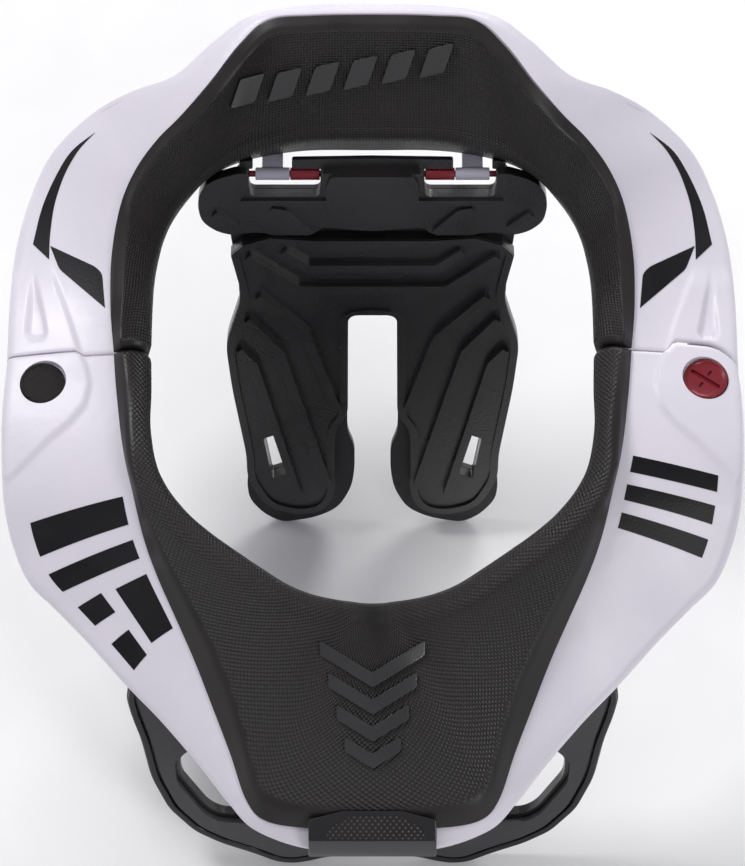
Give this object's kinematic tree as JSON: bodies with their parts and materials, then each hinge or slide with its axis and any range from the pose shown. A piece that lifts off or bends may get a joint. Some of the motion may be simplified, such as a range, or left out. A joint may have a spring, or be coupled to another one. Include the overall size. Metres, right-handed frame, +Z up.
{
  "type": "motocross neck brace",
  "caption": "Protective neck brace for motocross: hinged front and rear shells with moulded foam pads, a folding back strut and a chest plate.",
  "frame": {"origin": "middle of the footprint, on the surface the brace stands on", "axes": "+Z up, +Y towards the back of the neck, +X to the wearer's left, which is the picture's right"},
  "size_m": [0.3014, 0.3076, 0.2484],
  "materials": {
    "shell_white": "gloss, faint lavender white",
    "pad_foam": "moulded skinned foam, soft sheen, fine knurl",
    "cap_black": "satin to gloss",
    "pin_red": "dark red gloss",
    "arm_grey": "satin light grey",
    "strut_black": "satin black"
  },
  "bodies": {
    "rear": {"rear_shell": "shell_white", "rear_pad": "pad_foam", "hinge_arm_left": "arm_grey", "hinge_arm_right": "arm_grey"},
    "front": {"front_shell": "shell_white", "front_pad": "pad_foam", "latch_cap": "cap_black", "nose_cap": "cap_black", "chest_plate": "strut_black", "chest_pad": "pad_foam"},
    "strut": {"strut_frame": "strut_black", "bridge_pad": "pad_foam", "back_pad": "pad_foam", "hinge_pin_left": "pin_red", "hinge_pin_right": "pin_red"},
    "pin": {"gate_pin": "pin_red"}
  },
  "joints": [
    {"name": "gate_hinge", "type": "hinge", "parent": "rear", "child": "front", "pos_m": [0.135, 0.0278, 0.155], "axis": [0, 0, 1], "range_deg": [0, 30]},
    {"name": "strut_fold", "type": "hinge", "parent": "rear", "child": "strut", "pos_m": [0, 0.11202, 0.18123], "axis": [-1, 0, 0], "range_deg": [0, 30]},
    {"name": "pin_turn", "type": "hinge", "parent": "front", "child": "pin", "pos_m": [0.135, 0.0278, 0.155], "axis": [0, 0, 1], "range_deg": [0, 90]}
  ]
}
